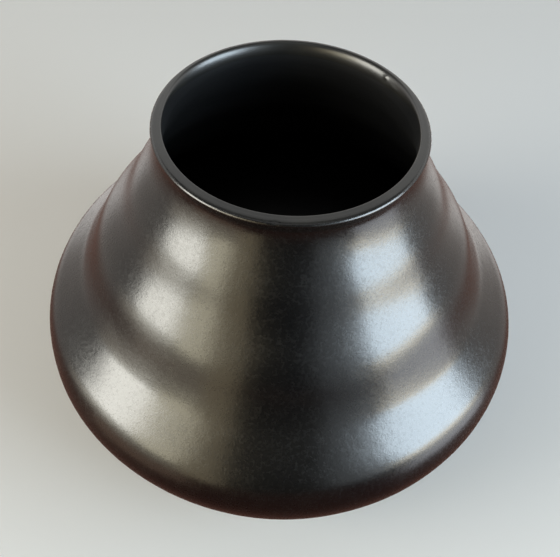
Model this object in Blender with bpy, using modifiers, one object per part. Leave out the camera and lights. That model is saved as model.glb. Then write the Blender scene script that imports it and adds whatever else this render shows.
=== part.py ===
"""A burnished black clay pot, built up by hand: a pinched base, courses of clay that swell out one
below the other, a short neck and a rim coil. Metres, +Z up, origin at the centre of the face that
the pot stands on, and the pot's axis along Z."""

import math

import bpy
import numpy as np

# Driving dimensions.
RIM_RADIUS = 0.060  # outside edge of the rim
WALL = 0.0050  # thickness of the clay, from the foot of the upper course down
NECK_WALL = 0.0029  # thickness of the clay under the rim, where it is drawn thin
RIM_LAND = 0.0046  # width of the flat on top of the rim
RIM_EDGE = 0.0012  # radius that the flat's outer edge is rounded to
THROAT_EDGE = 0.0016  # radius that the flat's inner edge is rounded to
SLIP_GAP = 0.0003  # room for the slip that glues one member to the next
LAP = 0.0026  # how much lower a joint lies on the outside of the wall than on the inside
SEGMENTS = 48  # flats round the pot
POINT_SPACING = 0.0065  # along the wall
EDGE_POINTS = 4  # on each rounded edge of the rim
SPAN_STEPS = 40  # fine steps of the outside curve between two of its points

# Each member's outside, from its upper joint to its lower one: distance from the axis and depth
# below the rim, both in rim radii. A member starts at the point where the one above it ends.
MEMBERS = {
    "rim_coil": ((0.986, 0.042), (0.971, 0.100)),
    "neck_collar": ((0.971, 0.100), (0.981, 0.180), (1.007, 0.260)),
    "upper_course": ((1.007, 0.260), (1.028, 0.310), (1.175, 0.560), (1.221, 0.650), (1.268, 0.740)),
    "middle_course": ((1.268, 0.740), (1.406, 0.940), (1.462, 1.020), (1.581, 1.270), (1.652, 1.410)),
    "belly_course": ((1.652, 1.410), (1.697, 1.480), (1.752, 1.540), (1.865, 1.650), (1.945, 1.730)),
    "keel_course": ((1.945, 1.730), (2.038, 1.940), (2.052, 2.050), (1.990, 2.330)),
    "lower_course": ((1.990, 2.330), (1.800, 2.630)),
    "foot_course": ((1.800, 2.630), (1.400, 2.930)),
    "base": ((1.400, 2.930), (1.080, 3.060), (0.900, 3.100)),
}
HEIGHT = MEMBERS["base"][-1][1] * RIM_RADIUS

CLAY_BLACK = (0.012, 0.012, 0.013, 1.0)
BURNISHED = 0.30  # roughness where the clay was rubbed with a stone
UNBURNISHED = 0.62  # roughness of the base, which isn't rubbed


def clear_scene():
    for obj in list(bpy.data.objects):
        bpy.data.objects.remove(obj, do_unlink=True)


def outline_points():
    """The points of MEMBERS in order, in metres, and the number of the point where each member ends."""
    points = [MEMBERS["rim_coil"][0]]
    ends = {}
    for name, run in MEMBERS.items():
        points.extend(run[1:])
        ends[name] = len(points) - 1
    return np.array([(r * RIM_RADIUS, HEIGHT - d * RIM_RADIUS) for r, d in points]), ends


def smooth_curve(points):
    """A natural cubic spline through the points, as a fine polyline."""
    knots = np.concatenate([[0], np.cumsum(np.linalg.norm(np.diff(points, axis=0), axis=1))])
    spans = np.diff(knots)
    last = len(points) - 1
    matrix = np.eye(len(points))
    bends = np.zeros_like(points)
    for i in range(1, last):
        matrix[i, i - 1 : i + 2] = spans[i - 1], 2 * (spans[i - 1] + spans[i]), spans[i]
        bends[i] = 6 * (
            (points[i + 1] - points[i]) / spans[i] - (points[i] - points[i - 1]) / spans[i - 1]
        )
    bends = np.linalg.solve(matrix, bends)
    curve = [points[0]]
    for i in range(last):
        for t in np.linspace(0, 1, SPAN_STEPS + 1)[1:]:
            a = 1 - t
            sag = (a**3 - a) * bends[i] + (t**3 - t) * bends[i + 1]
            curve.append(a * points[i] + t * points[i + 1] + sag * spans[i] ** 2 / 6)
    return np.array(curve)


class Wall:
    """The pot's wall in section: two curves from the rim down, the outside and the inside."""

    def __init__(self):
        points, ends = outline_points()
        self.outside = smooth_curve(points)
        along = np.gradient(self.outside, axis=0)
        along /= np.linalg.norm(along, axis=1)[:, None]
        inward = np.stack([along[:, 1], -along[:, 0]], axis=1)
        chords = np.linalg.norm(np.diff(self.outside, axis=0), axis=1)
        self.lengths = np.concatenate([[0], np.cumsum(chords)])
        self.joints = {name: self.lengths[number * SPAN_STEPS] for name, number in ends.items()}
        thickening = (self.joints["rim_coil"], self.joints["upper_course"])
        thickness = np.interp(self.lengths, thickening, (NECK_WALL, WALL))
        self.inside = self.outside + thickness[:, None] * inward

    def at(self, face, length):
        """The point of one face, the outside or the inside, this far down the outside."""
        return tuple(np.interp(length, self.lengths, face[:, i]) for i in (0, 1))

    def run(self, face, start, end):
        count = max(4, math.ceil(abs(end - start) / POINT_SPACING))
        return [self.at(face, length) for length in np.linspace(start, end, count + 1)]


def rounded_edge(edge_radius, centre_radius, from_angle, to_angle):
    """Points on one edge of the rim's flat, whose rounding touches the top of the pot."""
    angles = np.radians(np.linspace(from_angle, to_angle, EDGE_POINTS + 1))
    centre_height = HEIGHT - edge_radius
    return [
        (centre_radius + edge_radius * math.cos(a), centre_height + edge_radius * math.sin(a))
        for a in angles
    ]


def rim_section(wall):
    """The rim coil in section: out over the flat, down under its edge, and up the inside."""
    joint = wall.joints["rim_coil"]
    throat_radius = RIM_RADIUS - RIM_LAND
    outer_edge = rounded_edge(RIM_EDGE, RIM_RADIUS - RIM_EDGE, 90, -50)
    inner_edge = rounded_edge(THROAT_EDGE, throat_radius + THROAT_EDGE, 180, 90)
    outside = wall.run(wall.outside, 0, joint + (LAP - SLIP_GAP) / 2)
    foot = wall.at(wall.inside, joint - (LAP + SLIP_GAP) / 2)
    return outer_edge + outside + [foot] + inner_edge


def course_section(wall, upper_joint, lower_joint):
    """A course in section: down its outside, and up its inside, between two lapped joints."""
    outside = wall.run(
        wall.outside, upper_joint + (LAP + SLIP_GAP) / 2, lower_joint + (LAP - SLIP_GAP) / 2
    )
    inside = wall.run(
        wall.inside, lower_joint - (LAP + SLIP_GAP) / 2, upper_joint - (LAP - SLIP_GAP) / 2
    )
    return outside + inside


def base_section(wall, upper_joint):
    """The base in section: down its outside to the flat it stands on, and back over its floor."""
    end = wall.lengths[-1]
    outside = wall.run(wall.outside, upper_joint + (LAP + SLIP_GAP) / 2, end)
    inside = wall.run(wall.inside, end, upper_joint - (LAP - SLIP_GAP) / 2)
    floor = inside[0][1]
    return outside + [(0.0, 0.0), (0.0, floor)] + inside


def turned(name, section, collection, material):
    """An object made by turning a closed section about Z."""
    corners = [(radius, 0.0, height) for radius, height in section]
    edges = [(i, (i + 1) % len(corners)) for i in range(len(corners))]
    mesh = bpy.data.meshes.new(name)
    # A section that reaches the axis has no edge along it.
    on_axis = [i for i, corner in enumerate(corners) if corner[0] == 0.0]
    edges = [edge for edge in edges if not set(edge) <= set(on_axis)]
    mesh.from_pydata(corners, edges, [])
    mesh.materials.append(material)
    obj = bpy.data.objects.new(name, mesh)
    collection.objects.link(obj)
    screw = obj.modifiers.new("turn", "SCREW")
    screw.axis = "Z"
    screw.angle = 2 * math.pi
    screw.steps = SEGMENTS
    screw.render_steps = SEGMENTS
    screw.use_smooth_shade = True
    screw.use_merge_vertices = True
    screw.merge_threshold = 0.00001
    return obj


def clay(name, roughness):
    material = bpy.data.materials.new(name)
    material.use_nodes = True
    shader = material.node_tree.nodes["Principled BSDF"]
    shader.inputs["Base Color"].default_value = CLAY_BLACK
    shader.inputs["Roughness"].default_value = roughness
    shader.inputs["Metallic"].default_value = 0.35
    return material


def build_pot():
    collection = bpy.data.collections.new("black_clay_pot")
    bpy.context.scene.collection.children.link(collection)
    wall = Wall()
    upper_joint = None
    for name in MEMBERS:
        if name == "rim_coil":
            section = rim_section(wall)
        elif name == "base":
            section = base_section(wall, upper_joint)
        else:
            section = course_section(wall, upper_joint, wall.joints[name])
        roughness = UNBURNISHED if name == "base" else BURNISHED
        turned(name, section, collection, clay(name + "_clay", roughness))
        upper_joint = wall.joints[name]


clear_scene()
build_pot()
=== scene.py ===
"""The looks of a burnished black clay pot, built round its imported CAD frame.

Each clay member of the frame is replaced by a finer solid of the same member. They are all cut from
one hand-worked surface, so that they meet without a seam, as they do once the pot is fired."""

import math

import bpy
import numpy as np
from mathutils import Matrix, Vector


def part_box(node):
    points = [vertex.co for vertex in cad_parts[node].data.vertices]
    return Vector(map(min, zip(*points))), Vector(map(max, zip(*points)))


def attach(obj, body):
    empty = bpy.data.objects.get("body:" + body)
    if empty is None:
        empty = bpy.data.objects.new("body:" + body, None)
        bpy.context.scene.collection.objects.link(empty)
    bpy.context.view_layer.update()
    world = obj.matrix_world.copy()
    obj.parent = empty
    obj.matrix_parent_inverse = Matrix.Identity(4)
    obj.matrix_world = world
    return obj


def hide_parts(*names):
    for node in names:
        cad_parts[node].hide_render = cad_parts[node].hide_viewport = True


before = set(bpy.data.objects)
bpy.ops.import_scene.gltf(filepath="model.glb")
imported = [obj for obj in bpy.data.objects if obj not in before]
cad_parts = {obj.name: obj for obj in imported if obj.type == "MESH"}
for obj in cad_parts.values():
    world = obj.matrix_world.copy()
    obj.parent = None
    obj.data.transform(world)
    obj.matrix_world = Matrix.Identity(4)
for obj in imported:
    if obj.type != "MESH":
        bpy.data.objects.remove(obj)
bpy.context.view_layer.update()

# Driving dimensions, in metres. The first two come from the frame, and the walls, the rim's flat and
# the laps are as in the CAD.
RIM_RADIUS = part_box("rim_coil")[1].x
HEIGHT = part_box("rim_coil")[1].z
WALL = 0.0050
NECK_WALL = 0.0029
RIM_LAND = 0.0046
RIM_EDGE = 0.0012
LAP = 0.0026

# The rim's inner edge, worn unevenly: nearly sharp in front, and rolled well down into the throat at
# the back, where a flat is left only as wide as the crown.
THROAT_EDGE = 0.0007
ROLLED_EDGE = 0.0028
ROLLED_DEPTH = 0.0065
CROWN = 0.0017

# How finely the surface is cut.
AROUND = 512
ROW = 0.0018
EDGE_ROWS = 12
LAND_ROWS = 5
FLAT_ROWS = 14
SPAN_STEPS = 40

# The outside of the wall, as in the CAD: distance from the axis and depth below the rim, in rim radii.
MEMBERS = {
    "rim_coil": ((0.986, 0.042), (0.971, 0.100)),
    "neck_collar": ((0.971, 0.100), (0.981, 0.180), (1.007, 0.260)),
    "upper_course": ((1.007, 0.260), (1.028, 0.310), (1.175, 0.560), (1.221, 0.650), (1.268, 0.740)),
    "middle_course": ((1.268, 0.740), (1.406, 0.940), (1.462, 1.020), (1.581, 1.270), (1.652, 1.410)),
    "belly_course": ((1.652, 1.410), (1.697, 1.480), (1.752, 1.540), (1.865, 1.650), (1.945, 1.730)),
    "keel_course": ((1.945, 1.730), (2.038, 1.940), (2.052, 2.050), (1.990, 2.330)),
    "lower_course": ((1.990, 2.330), (1.800, 2.630)),
    "foot_course": ((1.800, 2.630), (1.400, 2.930)),
    "base": ((1.400, 2.930), (1.080, 3.060), (0.900, 3.100)),
}

# Unevenness left by the hands that built the pot: the foot's shift to one side, and low waves. A wave
# with this many turns round the pot, or this length down it, is half as high as a slow one. The waves
# fade out near the rim, where only a share of them is left, and near the foot.
BODY_SHIFT = 0.0005
WAVES = 36
WAVE_HEIGHT = 0.00022
WAVE_SEED = 11
MOST_WAVES_ROUND = 16
WAVE_LENGTHS = (0.025, 0.120)
HALVED_BY_TURNS = 4
HALVED_BY_LENGTH = 0.04
CALM_RIM = 0.030
CALM_SHARE = 0.15
CALM_FOOT = 0.040

# Where the lip's inner edge turns from crisp to rolled, as a share of the way from front to back.
ROLL_SPAN = (0.5, 0.85)

# The lip is thicker in front: how far it stands out, how far down that reaches, and how quickly it
# dies away round the rim.
LIP_SWELL = 0.0008
LIP_DEPTH = 0.0080
LIP_FOCUS = 1.5

# Small marks on the lip: angle from the front in degrees, distance from the crown (in over the throat
# is positive), height, length round the rim and width, in metres.
MARKS = (
    (131.7, 0.0030, 0.00040, 0.0010, 0.0008),
    (125.0, 0.0048, 0.00022, 0.0024, 0.0006),
    (-3.6, -0.0014, -0.00030, 0.0012, 0.0006),
)

# Where the camera stands: its distance in front of the pot's axis and height above the rim, in rim
# radii, and how it is turned, in degrees. The pot leans a little in its view. The lens's focal length
# is given as a share of the sensor's width.
CAMERA_AWAY = 4.478
CAMERA_UP = 3.727
CAMERA_PITCH = 50.92
CAMERA_YAW = -0.12
CAMERA_ROLL = 3.67
FOCAL_LENGTH_SHARE = 10 / 7
SENSOR_MM = 36

# The stage, in metres: the floor, which lies just under the pot, and how far off the soft lights are.
FLOOR_SIZE = 8
FLOOR_GAP = 0.0003
LIGHT_DISTANCE = 1.6

# How strongly the clay reflects, outside and on the rim, where carbon has filled it, and inside.
GLOSSY_IOR = 1.85
MATT_IOR = 1.6

# A face of the rim that looks up more squarely than this is part of the rim's flat.
FLAT_FACING = 0.97


# ---------------------------------------------------------------- shape


def smooth_curve(points):
    """A natural cubic spline through the points, as a fine polyline."""
    knots = np.concatenate([[0], np.cumsum(np.linalg.norm(np.diff(points, axis=0), axis=1))])
    spans = np.diff(knots)
    last = len(points) - 1
    matrix = np.eye(len(points))
    bends = np.zeros_like(points)
    for i in range(1, last):
        matrix[i, i - 1 : i + 2] = spans[i - 1], 2 * (spans[i - 1] + spans[i]), spans[i]
        bends[i] = 6 * (
            (points[i + 1] - points[i]) / spans[i] - (points[i] - points[i - 1]) / spans[i - 1]
        )
    bends = np.linalg.solve(matrix, bends)
    curve = [points[0]]
    for i in range(last):
        for t in np.linspace(0, 1, SPAN_STEPS + 1)[1:]:
            a = 1 - t
            sag = (a**3 - a) * bends[i] + (t**3 - t) * bends[i + 1]
            curve.append(a * points[i] + t * points[i + 1] + sag * spans[i] ** 2 / 6)
    return np.array(curve)


def wall_curves():
    """The outside and the inside of the wall from the rim down, how far down the outside each point
    lies, and how far down each member ends."""
    points = [MEMBERS["rim_coil"][0]]
    ends = {}
    for name, run in MEMBERS.items():
        points.extend(run[1:])
        ends[name] = (len(points) - 1) * SPAN_STEPS
    outside = smooth_curve(np.array([(r * RIM_RADIUS, HEIGHT - d * RIM_RADIUS) for r, d in points]))
    along = np.gradient(outside, axis=0)
    along /= np.linalg.norm(along, axis=1)[:, None]
    inward = np.stack([along[:, 1], -along[:, 0]], axis=1)
    lengths = np.concatenate([[0], np.cumsum(np.linalg.norm(np.diff(outside, axis=0), axis=1))])
    joints = {name: lengths[i] for name, i in ends.items()}
    thickness = np.interp(
        lengths, (joints["rim_coil"], joints["upper_course"]), (NECK_WALL, WALL)
    )
    return outside, outside + thickness[:, None] * inward, lengths, joints


def arc(edge_radius, edge_depth, centre_radius, from_angle, to_angle):
    """Points on one rounded edge of the rim's flat, in section."""
    angles = np.radians(np.linspace(from_angle, to_angle, EDGE_ROWS))
    centre_height = HEIGHT - edge_depth
    return [
        (centre_radius + edge_radius * math.cos(a), centre_height + edge_depth * math.sin(a))
        for a in angles
    ]


def face_rows(face, lengths, joints, lap):
    """Points down one face of the wall in even rows that hit every joint, and each joint's row."""
    rows = []
    breaks = {}
    start = 0.0
    for name, joint in joints.items():
        end = lengths[-1] if name == "base" else joint + lap
        count = math.ceil((end - start) / ROW)
        for length in np.linspace(start, end, count + 1)[1 if rows else 0 :]:
            rows.append(tuple(np.interp(length, lengths, face[:, i]) for i in (0, 1)))
        breaks[name] = len(rows) - 1
        start = end
    return rows, breaks


def flat_rows(radius, height):
    """Points from the end of a wall face to the axis, across the underside or the floor."""
    return [(radius * share, height) for share in np.linspace(1, 0, FLAT_ROWS)[1:]]


def section(throat_edge, throat_depth):
    """The pot in section as one line, from the middle of its underside, up the outside, over the rim
    and down the inside to the middle of its floor, with the rim's inner edge rounded this far across
    and down. Also each member's outer and inner rows in it, and the row of the rim's crown."""
    outside, inside, lengths, joints = wall_curves()
    crown = RIM_RADIUS - CROWN
    # The outer edge rounds on under the lip, to where the neck's wall starts.
    outer_edge = arc(RIM_EDGE, RIM_EDGE, RIM_RADIUS - RIM_EDGE, 90, -50)
    throat = RIM_RADIUS - RIM_LAND + throat_edge
    inner_edge = arc(throat_edge, throat_depth, throat, 90, 180)
    outer_land = [(r, HEIGHT) for r in np.linspace(crown, RIM_RADIUS - RIM_EDGE, LAND_ROWS)[:-1]]
    inner_land = [(r, HEIGHT) for r in np.linspace(crown, throat, LAND_ROWS)[1:-1]]
    outer, outer_breaks = face_rows(outside, lengths, joints, LAP / 2)
    inner, inner_breaks = face_rows(inside, lengths, joints, -LAP / 2)
    # The inner face starts a little below the roll.
    below_roll = HEIGHT - 1.1 * ROLLED_DEPTH
    inner_start = next(i for i, (_, z) in enumerate(inner) if z < below_roll)
    outer_line = outer_land + outer_edge + outer + flat_rows(*outer[-1])
    inner_line = inner_land + inner_edge + inner[inner_start:] + flat_rows(*inner[-1])
    line = outer_line[::-1] + inner_line
    top = len(outer_line) - 1
    outer_top = top - len(outer_land) - len(outer_edge)
    inner_top = top + 1 + len(inner_land) + len(inner_edge) - inner_start
    spans = {}
    outer_from, inner_from = top, top
    for name in MEMBERS:
        outer_to = 0 if name == "base" else outer_top - outer_breaks[name]
        inner_to = len(line) - 1 if name == "base" else inner_top + inner_breaks[name]
        spans[name] = (outer_from, outer_to, inner_from, inner_to)
        outer_from, inner_from = outer_to, inner_to
    return np.array(line), spans, top


def smooth_step(value, start, end):
    """0 where the value is at the start or before it, 1 at the end or past it, smooth between."""
    share = np.clip((value - start) / (end - start), 0, 1)
    return share * share * (3 - 2 * share)


def unevenness(angles, distances):
    """How far each point of the surface stands out, by angle and by distance along the section."""
    rng = np.random.default_rng(WAVE_SEED)
    height = np.zeros((len(distances), len(angles)))
    for _ in range(WAVES):
        turns = rng.integers(1, MOST_WAVES_ROUND + 1)
        length = rng.uniform(*WAVE_LENGTHS)
        phases = rng.uniform(0, 2 * math.pi, 2)
        # The shorter a wave is, the lower it is.
        share = 1 / (1 + turns / HALVED_BY_TURNS + HALVED_BY_LENGTH / length)
        around = np.cos(turns * angles + phases[0])
        along = np.cos(2 * math.pi * distances / length + phases[1])
        height += share * along[:, None] * around[None, :]
    # One wave of height 1 has a mean square of a quarter.
    return height * WAVE_HEIGHT / math.sqrt(WAVES / 4)


def marks(angles, distances):
    """How far the small marks on the lip stand out, by the distance from the crown and by angle."""
    height = np.zeros_like(distances)
    for degrees, distance, peak, length, width in MARKS:
        # The surface's angles start from the right, and the marks' from the front.
        turn = angles - math.radians(degrees - 90)
        turn = (turn + math.pi) % (2 * math.pi) - math.pi
        across = (distances - distance) / width
        round_rim = turn * RIM_RADIUS / length
        height += peak * np.exp(-(across**2) - round_rim**2)
    return height


def lip_swelling(line, top, back):
    """How far the lip's outside stands out: most in front, less across the flat and down the neck."""
    depth = HEIGHT - line[:, 1]
    outside = np.arange(len(line)) < top
    across_flat = np.clip((RIM_RADIUS - line[:, 0]) / CROWN, 0, 1)
    share = np.where(outside, 1 - across_flat * (depth < RIM_EDGE), 0)
    share *= 1 - smooth_step(depth, RIM_EDGE, LIP_DEPTH)
    return LIP_SWELL * share[:, None] * (1 - back) ** LIP_FOCUS


def surface():
    """Every point of the pot's surface and the way it faces, by row of the section and by angle.
    Also each member's rows in the section, and the row of the rim's crown."""
    line, spans, top = section(THROAT_EDGE, THROAT_EDGE)
    rolled, _, _ = section(ROLLED_EDGE, ROLLED_DEPTH)
    angles = np.linspace(0, 2 * math.pi, AROUND, endpoint=False)
    back = (1 + np.sin(angles)) / 2
    roll = smooth_step(back, *ROLL_SPAN)[None, :, None]
    lines = (1 - roll) * line[:, None, :] + roll * rolled[:, None, :]
    steps = np.linalg.norm(np.diff(lines, axis=0), axis=2)
    distances = np.concatenate([np.zeros((1, AROUND)), np.cumsum(steps, axis=0)])
    along = np.gradient(lines, axis=0)
    along /= np.linalg.norm(along, axis=2)[:, :, None]
    depth = HEIGHT - line[:, 1]
    below_rim = np.clip(depth / CALM_RIM, CALM_SHARE, 1)
    above_foot = np.clip(line[:, 1] / CALM_FOOT, 0, 1)
    stands_out = unevenness(angles, distances[:, 0]) * (below_rim * above_foot)[:, None]
    stands_out += marks(angles, distances - distances[top])
    radius = lines[:, :, 0] + stands_out * along[:, :, 1] + lip_swelling(line, top, back)
    height = lines[:, :, 1] - stands_out * along[:, :, 0]
    sink = smooth_step(depth, 0, HEIGHT)
    points = np.stack(
        [
            radius * np.cos(angles) + BODY_SHIFT * sink[:, None],
            radius * np.sin(angles),
            height,
        ],
        axis=-1,
    )
    down = np.gradient(points, axis=0)
    around = np.roll(points, -1, axis=1) - np.roll(points, 1, axis=1)
    facing = np.cross(around, down)
    facing[0] = 0, 0, -1
    facing[-1] = 0, 0, 1
    facing /= np.linalg.norm(facing, axis=2)[:, :, None]
    return points, facing, spans, top


def member(name, points, facing, span, top):
    """One clay member as a closed solid: its outer rows, its inner rows, and the joints between."""
    outer_from, outer_to, inner_from, inner_to = span
    inner_first = inner_from + 1 if inner_from == outer_from else inner_from
    rows = list(range(outer_to, outer_from + 1)) + list(range(inner_first, inner_to + 1))
    has_floor = outer_to == 0
    corners = []
    normals = []
    first = {}
    for row in rows:
        first[row] = len(corners)
        on_axis = has_floor and row in (rows[0], rows[-1])
        columns = 1 if on_axis else AROUND
        corners.extend(points[row, :columns].tolist())
        normals.extend(facing[row, :columns].tolist())
    faces = []
    kinds = []
    links = list(zip(rows, rows[1:]))
    if not has_floor:
        links.append((rows[-1], rows[0]))
    for lower, upper in links:
        is_joint = abs(upper - lower) != 1
        for i in range(AROUND):
            j = (i + 1) % AROUND
            if has_floor and lower == rows[0]:
                face = (first[lower], first[upper] + j, first[upper] + i)
            elif has_floor and upper == rows[-1]:
                face = (first[lower] + i, first[lower] + j, first[upper])
            else:
                face = (first[lower] + i, first[lower] + j, first[upper] + j, first[upper] + i)
            faces.append(face)
            side = "inside" if lower >= top else "outside"
            kinds.append("joint" if is_joint else side)
    mesh = bpy.data.meshes.new(name)
    mesh.from_pydata(corners, [], faces)
    mesh.shade_smooth()
    loop_normals = []
    for polygon, kind in zip(mesh.polygons, kinds):
        polygon.use_smooth = kind != "joint"
        for corner in polygon.vertices:
            loop_normals.append((0, 0, 0) if kind == "joint" else normals[corner])
    mesh.normals_split_custom_set(loop_normals)
    piece = bpy.data.objects.new(name + "_clay", mesh)
    bpy.context.scene.collection.objects.link(piece)
    return piece, kinds


# ---------------------------------------------------------------- materials


def new_material(name):
    material = bpy.data.materials.new(name)
    material.use_nodes = True
    return material, material.node_tree, material.node_tree.nodes["Principled BSDF"]


def node(tree, kind, inputs=None, **settings):
    """A shader node with its settings, and its inputs as values or as links."""
    made = tree.nodes.new("ShaderNode" + kind)
    for name, value in settings.items():
        setattr(made, name, value)
    for socket, value in (inputs or {}).items():
        if isinstance(value, bpy.types.NodeSocket):
            tree.links.new(value, made.inputs[socket])
        else:
            made.inputs[socket].default_value = value
    return made


def math_node(tree, operation, *values):
    made = node(tree, "Math", dict(enumerate(values)), operation=operation)
    return made.outputs[0]


def between(tree, factor, low, high):
    """A number that goes from low to high as the factor goes from 0 to 1."""
    made = node(tree, "MapRange", {"Value": factor, "To Min": low, "To Max": high})
    return made.outputs["Result"]


def clay_noise(tree, place, size, detail=2.0, roughness=0.5):
    """Noise whose patches are about this size, in metres."""
    inputs = {"Vector": place, "Scale": 1 / size, "Detail": detail, "Roughness": roughness}
    return node(tree, "TexNoise", inputs).outputs["Fac"]


def two_tone(tree, factor, low, high, start=0.0, end=1.0):
    """A colour that goes from low to high as the factor goes from start to end."""
    tint = node(tree, "ValToRGB", {"Fac": factor})
    first, last = tint.color_ramp.elements
    first.position = start
    first.color = (*low, 1)
    last.position = end
    last.color = (*high, 1)
    return tint.outputs["Color"]


def blend_colour(tree, factor, first, second):
    inputs = {"Factor": factor, "A": first, "B": second}
    return node(tree, "Mix", inputs, data_type="RGBA").outputs["Result"]


def embossed(tree, shader, relief, depth):
    """Fine relief in the surface, this deep in metres."""
    bump = node(tree, "Bump", {"Height": relief, "Distance": depth, "Strength": 1.0})
    tree.links.new(bump.outputs["Normal"], shader.inputs["Normal"])


def dots(tree, place, spacing, radius, share):
    """1 in the middle of scattered dots of this radius, 0 outside them. Only this share of the cells,
    each about the spacing across, holds a dot."""
    cells = node(tree, "TexVoronoi", {"Vector": place, "Scale": 1 / spacing})
    lot = node(tree, "SeparateColor", {"Color": cells.outputs["Color"]}).outputs[0]
    chosen = math_node(tree, "LESS_THAN", lot, share)
    reach = {"Value": cells.outputs["Distance"], "From Max": radius / spacing, "To Min": 1, "To Max": 0}
    fall = node(tree, "MapRange", reach, interpolation_type="SMOOTHSTEP").outputs["Result"]
    return math_node(tree, "MULTIPLY", chosen, fall)


def burnished_clay():
    """Black clay rubbed with a quartz stone and smoke-fired: a graphite sheen over a fine grain."""
    material, tree, shader = new_material("burnished_clay")
    place = node(tree, "TexCoord").outputs["Object"]
    clouds = clay_noise(tree, place, 0.055, 4, 0.6)
    grain = clay_noise(tree, place, 0.0009, 2, 0.6)
    speckle = clay_noise(tree, place, 0.0016, 3, 0.7)
    ripple = clay_noise(tree, place, 0.0050, 1)
    pits = dots(tree, place, 0.011, 0.00055, 0.22)
    minerals = dots(tree, place, 0.016, 0.00032, 0.20)

    black, smoky = (0.0012, 0.0013, 0.0016), (0.0044, 0.0040, 0.0034)
    tint = two_tone(tree, clouds, black, smoky, 0.35, 0.68)
    flecked = blend_colour(tree, minerals, tint, (0.30, 0.30, 0.28, 1))
    tree.links.new(flecked, shader.inputs["Base Color"])

    rubbed = between(tree, clay_noise(tree, place, 0.020, 3), 0.20, 0.29)
    grainy = between(tree, grain, -0.06, 0.06)
    # The small spots that the stone missed are duller.
    spots = {"Value": speckle, "From Min": 0.48, "From Max": 0.70, "To Min": 0.0, "To Max": 0.08}
    missed = node(tree, "MapRange", spots).outputs["Result"]
    roughness = math_node(tree, "ADD", math_node(tree, "ADD", rubbed, grainy), pits)
    roughness = math_node(tree, "ADD", roughness, missed)
    tree.links.new(roughness, shader.inputs["Roughness"])
    shader.inputs["IOR"].default_value = GLOSSY_IOR

    relief = math_node(tree, "MULTIPLY_ADD", ripple, 1.4, math_node(tree, "MULTIPLY", grain, 1.1))
    relief = math_node(tree, "MULTIPLY_ADD", pits, -3.0, relief)
    embossed(tree, shader, relief, 0.000036)
    return material


def ringed(tree, along, size):
    """Noise in rings, as a wet hand or cloth leaves them on a pot that turns."""
    inputs = {"W": along, "Scale": 1 / size, "Detail": 3.0}
    return node(tree, "TexNoise", inputs, noise_dimensions="1D").outputs["Fac"]


def rim_clay():
    """The rim's flat: satin graphite grey, wiped round with a wet cloth and left unburnished."""
    material, tree, shader = new_material("rim_clay")
    place = node(tree, "TexCoord").outputs["Object"]
    flat = node(tree, "VectorMath", {0: place, 1: (1, 1, 0)}, operation="MULTIPLY").outputs[0]
    radius = node(tree, "VectorMath", {0: flat}, operation="LENGTH").outputs["Value"]
    rings = ringed(tree, radius, 0.0008)
    grain = clay_noise(tree, place, 0.0008, 2, 0.6)
    clouds = clay_noise(tree, place, 0.018, 3)
    tint = two_tone(tree, clouds, (0.007, 0.007, 0.0066), (0.018, 0.017, 0.014), 0.35, 0.70)
    tree.links.new(tint, shader.inputs["Base Color"])
    tree.links.new(between(tree, rings, 0.26, 0.40), shader.inputs["Roughness"])
    shader.inputs["IOR"].default_value = GLOSSY_IOR
    embossed(tree, shader, math_node(tree, "ADD", rings, grain), 0.000014)
    return material


def inner_clay():
    """The inside: smoke-black, smoothed by hand in level rings, never burnished."""
    material, tree, shader = new_material("inner_clay")
    place = node(tree, "TexCoord").outputs["Object"]
    up = node(tree, "SeparateXYZ", {"Vector": place}).outputs["Z"]
    rings = ringed(tree, up, 0.0035)
    grain = clay_noise(tree, place, 0.0015, 3, 0.6)
    clouds = clay_noise(tree, place, 0.030, 3)
    tint = two_tone(tree, clouds, (0.0040, 0.0045, 0.0055), (0.0120, 0.0120, 0.0125))
    tree.links.new(tint, shader.inputs["Base Color"])
    tree.links.new(between(tree, grain, 0.36, 0.52), shader.inputs["Roughness"])
    shader.inputs["IOR"].default_value = MATT_IOR
    embossed(tree, shader, math_node(tree, "MULTIPLY_ADD", rings, 2.0, grain), 0.00003)
    return material


def base_clay():
    """The underside: matt, with the grit of the ground that it was pinched and dried on."""
    material, tree, shader = new_material("base_clay")
    place = node(tree, "TexCoord").outputs["Object"]
    grit = clay_noise(tree, place, 0.0012, 4, 0.7)
    clouds = clay_noise(tree, place, 0.022, 4, 0.6)
    tint = two_tone(tree, clouds, (0.014, 0.0135, 0.013), (0.045, 0.043, 0.040))
    tree.links.new(tint, shader.inputs["Base Color"])
    tree.links.new(between(tree, grit, 0.50, 0.80), shader.inputs["Roughness"])
    embossed(tree, shader, grit, 0.00012)
    return material


def build_pot():
    """Every member's piece. The rim has its own look on its flat and in the throat."""
    points, facing, spans, top = surface()
    burnished, rim, underside, inner = burnished_clay(), rim_clay(), base_clay(), inner_clay()
    for name in MEMBERS:
        piece, kinds = member(name, points, facing, spans[name], top)
        piece.data.materials.append(underside if name == "base" else burnished)
        piece.data.materials.append(rim if name == "rim_coil" else inner)
        for polygon, kind in zip(piece.data.polygons, kinds):
            is_flat = name == "rim_coil" and polygon.normal.z > FLAT_FACING
            polygon.material_index = 0 if kind == "outside" and not is_flat else 1
        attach(piece, "root")
        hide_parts(name)


# ---------------------------------------------------------------- stage


def floor():
    bpy.ops.mesh.primitive_plane_add(size=FLOOR_SIZE, location=(0, 0, -FLOOR_GAP))
    plane = bpy.context.object
    plane.name = "floor"
    material, _, shader = new_material("floor")
    shader.inputs["Base Color"].default_value = (0.70, 0.69, 0.67, 1)
    shader.inputs["Roughness"].default_value = 0.9
    plane.data.materials.append(material)
    # The pot's gloss shows the room's dim lower half and not the floor's white.
    plane.visible_glossy = False
    plane.visible_shadow = False


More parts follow.
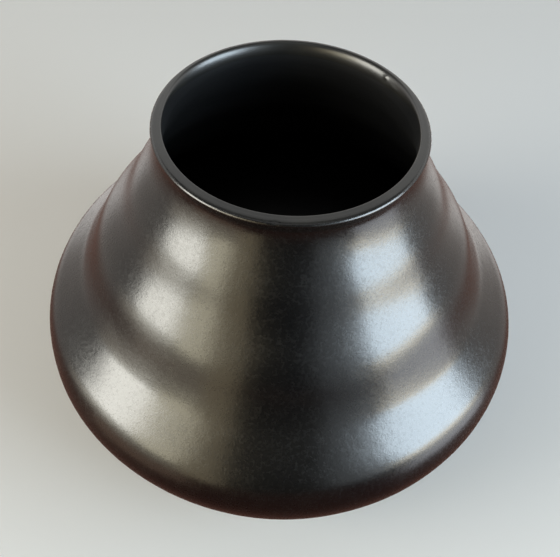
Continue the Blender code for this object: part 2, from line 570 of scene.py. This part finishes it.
def fade(tree, value, start, end):
    """0 where the value is at the start or before it, 1 at the end or past it, smooth between."""
    inputs = {"Value": value, "From Min": start, "From Max": end}
    return node(tree, "MapRange", inputs, interpolation_type="SMOOTHSTEP").outputs["Result"]


def room():
    """Dim soft light from all round: pale behind the pot, dark in front of it, and brown below. The
    camera sees a plain pale backdrop."""
    world = bpy.data.worlds.new("room")
    bpy.context.scene.world = world
    world.use_nodes = True
    tree = world.node_tree
    way = node(tree, "TexCoord").outputs["Generated"]
    axes = node(tree, "SeparateXYZ", {"Vector": way}).outputs
    behind = fade(tree, axes["Y"], -0.70, 0.90)
    # The wall behind is bright high up and dim lower down, and bright again where it meets the table.
    wall_foot = fade(tree, axes["Z"], 0.45, 0.05)
    back_wall = blend_colour(tree, wall_foot, (1.20, 1.20, 1.18, 1), (0.60, 0.54, 0.50, 1))
    far_back = fade(tree, axes["Y"], 0.50, 0.80)
    lit_foot = math_node(tree, "MULTIPLY", far_back, fade(tree, axes["Z"], -0.26, -0.38))
    back_wall = blend_colour(tree, lit_foot, back_wall, (1.9, 1.85, 1.8, 1))
    wall = blend_colour(tree, behind, (0.012, 0.012, 0.013, 1), back_wall)
    ceiling = blend_colour(tree, fade(tree, axes["Z"], 0.58, 0.78), wall, (0.05, 0.05, 0.05, 1))
    ground = blend_colour(tree, behind, (0.055, 0.014, 0.009, 1), (0.24, 0.125, 0.095, 1))
    # The table's edge is lower in the view behind than in front.
    table_edge = math_node(tree, "MULTIPLY_ADD", behind, 0.16, axes["Z"])
    colour = blend_colour(tree, fade(tree, table_edge, -0.42, -0.22), ground, ceiling)
    seen = node(tree, "LightPath").outputs["Is Camera Ray"]
    shown = blend_colour(tree, seen, colour, (0.80, 0.80, 0.79, 1))
    tree.links.new(shown, tree.nodes["Background"].inputs["Color"])


def soft_light(name, left, right, low, high, colour, brightness):
    """A soft box that fills this part of the view from the pot, in degrees: from the left edge to the
    right one, where 0 is the camera's side, and from the low edge to the high one."""
    turn, lift = math.radians((left + right) / 2), math.radians((low + high) / 2)
    width = 2 * LIGHT_DISTANCE * math.tan(math.radians(right - left) / 2)
    height = 2 * LIGHT_DISTANCE * math.tan(math.radians(high - low) / 2)
    light = bpy.data.lights.new(name, "AREA")
    light.shape = "RECTANGLE"
    light.size = width
    light.size_y = height
    light.color = colour
    light.energy = brightness * width * height * math.pi
    box = bpy.data.objects.new(name, light)
    aim = Vector((0, 0, HEIGHT / 2))
    way = Vector((math.sin(turn) * math.cos(lift), -math.cos(turn) * math.cos(lift), math.sin(lift)))
    box.location = aim + LIGHT_DISTANCE * way
    box.rotation_euler = (-way).to_track_quat("-Z", "Y").to_euler()
    box.visible_camera = False
    bpy.context.scene.collection.objects.link(box)


def lights():
    soft_light("left_window", -80, -54, 0, 38, (1.0, 0.985, 0.90), 8.3)
    soft_light("left_window_foot", -78, -55, -10, 0, (1.0, 0.97, 0.84), 2.6)
    soft_light("left_wall", -53, -34, -5, 34, (1.0, 0.92, 0.68), 3.4)
    soft_light("left_corner", -34, -17, -20, 34, (1.0, 0.82, 0.52), 0.88)
    soft_light("left_sill", -88, -34, -20, -5, (1.0, 0.87, 0.68), 0.7)
    soft_light("left_table", -72, -34, -38, -20, (1.0, 0.68, 0.48), 0.35)
    soft_light("right_window", 48, 86, -1, 38, (0.75, 0.89, 1.0), 8.9)
    soft_light("right_window_foot", 49, 86, -10, -1, (1.0, 0.93, 0.76), 5.6)
    soft_light("right_sill", 55, 90, -30, -11, (0.87, 0.92, 1.0), 1.7)
    soft_light("right_wall", 22, 47, -14, 34, (0.88, 0.95, 1.0), 0.36)
    soft_light("right_corner", 36, 48, -10, 34, (0.84, 0.93, 1.0), 0.50)
    soft_light("overhead", -30, 30, 66, 90, (1.0, 1.0, 1.0), 0.3)


def camera():
    lens = bpy.data.cameras.new("camera")
    lens.sensor_width = SENSOR_MM
    lens.lens = SENSOR_MM * FOCAL_LENGTH_SHARE
    pitch, yaw, roll = (math.radians(v) for v in (CAMERA_PITCH, CAMERA_YAW, CAMERA_ROLL))
    ahead = Vector(
        (math.sin(yaw) * math.cos(pitch), math.cos(yaw) * math.cos(pitch), -math.sin(pitch))
    )
    level = Vector((math.cos(yaw), -math.sin(yaw), 0))
    up = level.cross(ahead)
    right = math.cos(roll) * level + math.sin(roll) * up
    top = -math.sin(roll) * level + math.cos(roll) * up
    place = Vector((0, -CAMERA_AWAY * RIM_RADIUS, HEIGHT + CAMERA_UP * RIM_RADIUS))
    holder = bpy.data.objects.new("camera", lens)
    turn = Matrix((right, top, -ahead)).transposed().to_4x4()
    holder.matrix_world = Matrix.Translation(place) @ turn
    bpy.context.scene.collection.objects.link(holder)
    bpy.context.scene.camera = holder


camera()
room()
lights()
floor()
build_pot()
bpy.context.scene.view_settings.view_transform = "Standard"
bpy.context.view_layer.update()
